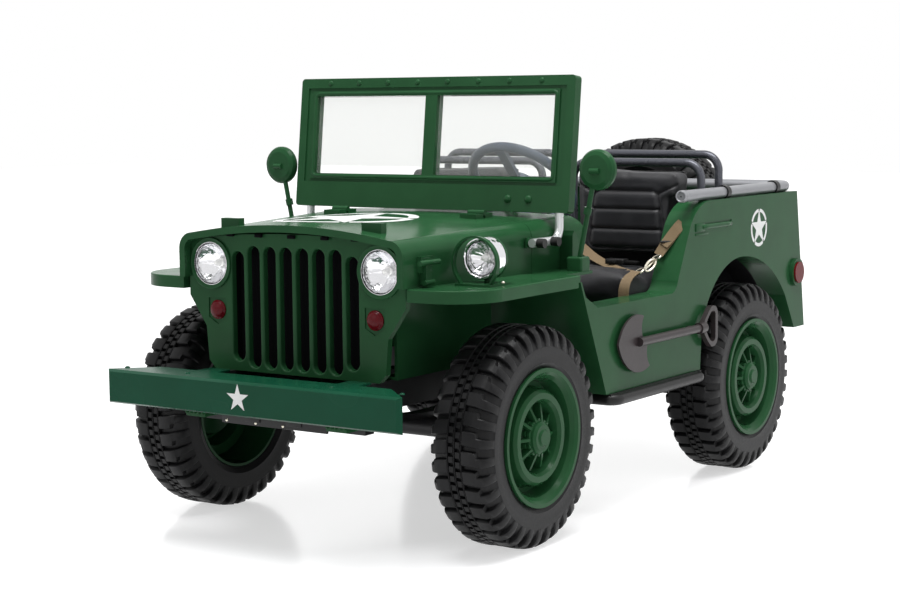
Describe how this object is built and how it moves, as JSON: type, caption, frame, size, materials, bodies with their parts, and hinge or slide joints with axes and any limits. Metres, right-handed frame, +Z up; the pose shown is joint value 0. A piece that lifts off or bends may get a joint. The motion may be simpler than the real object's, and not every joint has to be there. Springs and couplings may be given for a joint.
{
  "type": "ride-on toy army 4x4 car",
  "caption": "Child's electric ride-on toy in the shape of an old open army 4x4, with slotted grille, folding windshield, two padded seats, roll hoops and a rear spare wheel.",
  "frame": {"origin": "on the floor below the middle of the bounding box", "axes": "+X is the toy's left side, the front faces -Y, +Z is up"},
  "size_m": [0.771, 1.499, 0.7799],
  "materials": {
    "body_green": "gloss",
    "rail_grey": "satin",
    "black_plastic": "satin",
    "frame_black": "satin",
    "tyre_rubber": "matte",
    "seat_cover": "satin",
    "window_clear": "gloss",
    "lamp_clear": "gloss",
    "lamp_bright": "polished",
    "silver_arm": "satin",
    "marker_red": "gloss",
    "reflector_red": "gloss"
  },
  "bodies": {
    "chassis": {"bumper": "body_green", "chassis_frame": "frame_black", "front_axle": "frame_black", "front_body": "body_green", "grille_backing": "black_plastic", "grille_panel": "body_green", "headlamps": "lamp_bright", "lamp_lenses": "lamp_clear", "leaf_springs": "frame_black", "markers": "marker_red", "mirrors": "body_green", "rail_clamps": "black_plastic", "rear_axle": "frame_black", "roll_hoops": "rail_grey", "running_boards": "frame_black", "seat_backs": "seat_cover", "seat_base": "black_plastic", "seat_cushions": "seat_cover", "seat_shells": "black_plastic", "shovel": "black_plastic", "side_rail": "rail_grey", "side_reflectors": "reflector_red", "side_walls": "body_green", "spare_mount": "black_plastic", "spare_rim": "body_green", "spare_tyre": "tyre_rubber", "spot_guard": "silver_arm", "spot_lamp": "body_green", "steering_column": "black_plastic", "tub": "body_green", "wheel_wells": "body_green"},
    "hood": {"hood": "body_green", "hood_fittings": "body_green"},
    "windshield": {"windshield_frame": "body_green", "windshield_glass": "window_clear", "windshield_arms": "silver_arm", "arm_knobs": "black_plastic"},
    "steering_wheel": {"steering_wheel": "black_plastic"},
    "knuckle_l": {"knuckle_l": "frame_black"},
    "knuckle_r": {"knuckle_r": "frame_black"},
    "tie_rod": {"tie_rod": "frame_black"},
    "wheel_l_front": {"tyre_l_front": "tyre_rubber", "rim_l_front": "body_green"},
    "wheel_r_front": {"tyre_r_front": "tyre_rubber", "rim_r_front": "body_green"},
    "wheel_l_rear": {"tyre_l_rear": "tyre_rubber", "rim_l_rear": "body_green"},
    "wheel_r_rear": {"tyre_r_rear": "tyre_rubber", "rim_r_rear": "body_green"}
  },
  "joints": [
    {"name": "steering", "type": "hinge", "parent": "chassis", "child": "steering_wheel", "pos_m": [0.12, -0.0945, 0.583], "axis": [0, 0.7071, 0.7071], "range_deg": [-55, 55]},
    {"name": "steer_l", "type": "hinge", "parent": "chassis", "child": "knuckle_l", "pos_m": [0.255, -0.4405, 0.185], "axis": [0, 0, 1], "range_deg": [-22, 22]},
    {"name": "steer_r", "type": "hinge", "parent": "chassis", "child": "knuckle_r", "pos_m": [-0.255, -0.4405, 0.185], "axis": [0, 0, 1], "range_deg": [-22, 22]},
    {"name": "tie_rod_pin", "type": "hinge", "parent": "knuckle_l", "child": "tie_rod", "pos_m": [0.255, -0.3685, 0.17], "axis": [0, 0, 1], "range_deg": [-22, 22]},
    {"name": "roll_l_front", "type": "hinge", "parent": "knuckle_l", "child": "wheel_l_front", "pos_m": [0.321, -0.4405, 0.185], "axis": [1, 0, 0], "continuous": true},
    {"name": "roll_r_front", "type": "hinge", "parent": "knuckle_r", "child": "wheel_r_front", "pos_m": [-0.321, -0.4405, 0.185], "axis": [1, 0, 0], "continuous": true},
    {"name": "roll_l_rear", "type": "hinge", "parent": "chassis", "child": "wheel_l_rear", "pos_m": [0.321, 0.3595, 0.185], "axis": [1, 0, 0], "continuous": true},
    {"name": "roll_r_rear", "type": "hinge", "parent": "chassis", "child": "wheel_r_rear", "pos_m": [-0.321, 0.3595, 0.185], "axis": [1, 0, 0], "continuous": true},
    {"name": "windshield_fold", "type": "hinge", "parent": "chassis", "child": "windshield", "pos_m": [0, -0.3055, 0.493], "axis": [-1, 0, 0], "range_deg": [-97, 0]},
    {"name": "hood_lift", "type": "hinge", "parent": "chassis", "child": "hood", "pos_m": [0, -0.292, 0.541], "axis": [-1, 0, 0], "range_deg": [0, 50]}
  ],
  "couplings": [
    {"joint": "steer_l", "follows": "steering", "ratio": 0.4},
    {"joint": "steer_r", "follows": "steering", "ratio": 0.4},
    {"joint": "tie_rod_pin", "follows": "steering", "ratio": -0.4}
  ]
}
